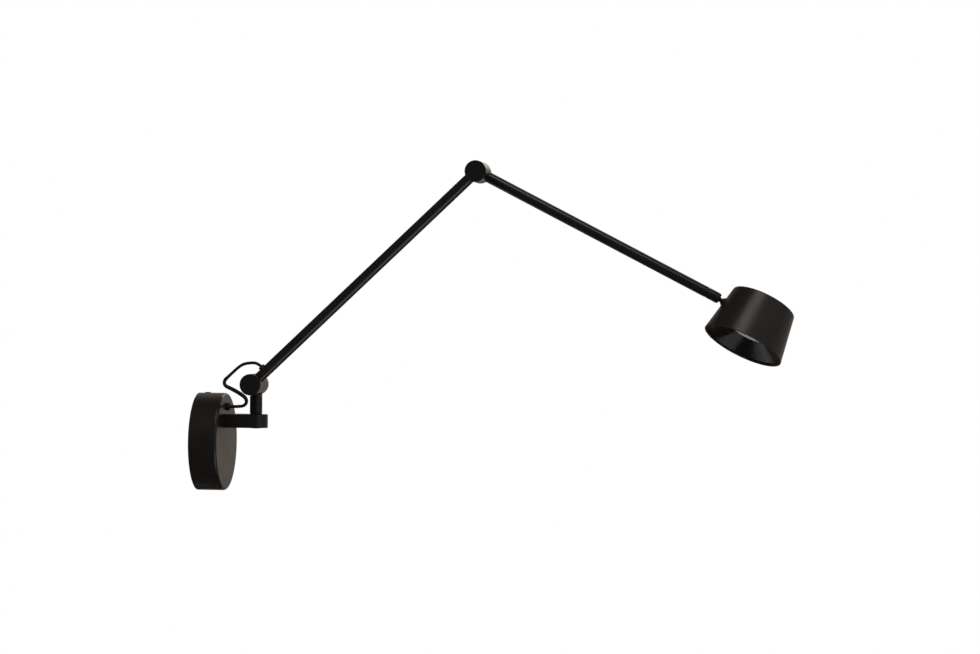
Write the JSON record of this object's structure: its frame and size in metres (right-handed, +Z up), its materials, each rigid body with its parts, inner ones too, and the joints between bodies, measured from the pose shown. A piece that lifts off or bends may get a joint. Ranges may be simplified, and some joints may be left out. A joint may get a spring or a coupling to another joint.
{
  "type": "articulating wall lamp",
  "caption": "Wall lamp with a round wall box, a swivelling post, two tube arms on barrel joints and a drum-shaped head on a ball joint.",
  "frame": {"origin": "centre of the wall plate's back face, midway between its two wall screw holes", "axes": "+X out of the wall, +Z up, +Y along the wall, away from the side the lower arm is on"},
  "size_m": [0.6692, 0.11, 0.3722],
  "materials": {
    "arm_coat": "satin black powder coat",
    "cover_coat": "satin brownish black powder coat",
    "shade_coat": "satin black powder coat",
    "black_screw": "blackened steel",
    "zinc_steel": "zinc-plated steel",
    "black_nylon": "moulded black nylon",
    "white_acetal": "turned acetal",
    "black_rubber": "moulded black rubber",
    "cable_jacket": "soft black PVC jacket",
    "case_plastic": "moulded white polycarbonate",
    "board": "green solder mask",
    "terminal_plastic": "moulded polyamide",
    "brass": "plain brass",
    "aluminium": "machined aluminium",
    "black_anodised": "black anodised aluminium",
    "led_phosphor": "yellow phosphor gel",
    "reflector_black": "black anti-glare funnel",
    "diffuser_white": "frosted opal acrylic"
  },
  "bodies": {
    "root": {"wall_plate": "zinc_steel", "mains_grommet": "black_rubber", "canopy_cover": "cover_coat", "cover_screw": "black_screw", "support_bridge": "zinc_steel", "bridge_screws": "zinc_steel", "bracket_bar": "arm_coat", "bracket_screws": "zinc_steel", "driver_case": "case_plastic", "driver_lid": "case_plastic", "driver_board": "board", "driver_screws": "zinc_steel", "terminal_block": "terminal_plastic", "terminal_screws": "brass", "earth_screw": "brass", "canopy_lead": "cable_jacket", "canopy_gland": "black_nylon", "gland_nut": "black_nylon", "cable_lower": "cable_jacket", "swivel_bush_upper": "black_nylon", "swivel_bush_lower": "white_acetal", "swivel_stop_screw": "black_screw"},
    "post": {"post": "arm_coat", "swivel_washers": "zinc_steel", "swivel_screw": "black_screw", "lower_fixed_knuckle": "arm_coat", "lower_fixed_cap": "arm_coat", "lower_pivot_bolt": "zinc_steel", "lower_pivot_washers": "zinc_steel", "lower_pivot_nut": "zinc_steel", "cable_upper": "cable_jacket"},
    "lower_arm": {"lower_arm_knuckle": "arm_coat", "lower_arm_cap": "arm_coat", "lower_arm_tube": "arm_coat", "arm_grommet": "black_nylon", "lower_arm_lead": "cable_jacket", "elbow_lower_knuckle": "arm_coat", "elbow_lower_cap": "arm_coat"},
    "upper_arm": {"elbow_upper_knuckle": "arm_coat", "elbow_upper_cap": "arm_coat", "elbow_pivot_bolt": "zinc_steel", "elbow_pivot_washers": "zinc_steel", "elbow_pivot_nut": "zinc_steel", "upper_arm_tube": "arm_coat", "upper_arm_lead": "cable_jacket", "tip_ferrule": "black_anodised"},
    "ball_socket": {"ball_socket": "arm_coat", "socket_grub": "black_screw", "ball_seat": "white_acetal"},
    "ball_stud": {"ball_stud": "arm_coat", "stem_nut": "zinc_steel"},
    "head": {"shade": "shade_coat", "stem_bush": "black_nylon", "heat_sink": "aluminium", "head_screws": "zinc_steel", "led_board": "board", "led_module": "led_phosphor", "diffuser": "diffuser_white", "reflector": "reflector_black"}
  },
  "joints": [
    {"name": "post_swivel", "type": "hinge", "parent": "root", "child": "post", "pos_m": [0.06535, 0, 0.03], "axis": [0, 0, 1], "range_deg": [-75, 75], "deforming": ["cable_lower"]},
    {"name": "lower_pivot", "type": "hinge", "parent": "post", "child": "lower_arm", "pos_m": [0.06535, -0.01125, 0.0653], "axis": [0, -1, 0], "range_deg": [-70, 50], "deforming": ["cable_upper"]},
    {"name": "elbow", "type": "hinge", "parent": "lower_arm", "child": "upper_arm", "pos_m": [0.31749, -0.01125, 0.30516], "axis": [0, 1, 0], "range_deg": [-70, 75]},
    {"name": "socket_turn", "type": "hinge", "parent": "upper_arm", "child": "ball_socket", "pos_m": [0.58414, 0, 0.1677], "axis": [0.8889, 0, -0.4582], "range_deg": [-170, 170]},
    {"name": "ball_tilt", "type": "hinge", "parent": "ball_socket", "child": "ball_stud", "pos_m": [0.58414, 0, 0.1677], "axis": [-0.1401, 0.9521, -0.2717], "range_deg": [-27, 12]},
    {"name": "head_turn", "type": "hinge", "parent": "ball_stud", "child": "head", "pos_m": [0.58414, 0, 0.1677], "axis": [0.8234, -0.0404, -0.5661], "range_deg": [-170, 170]}
  ]
}
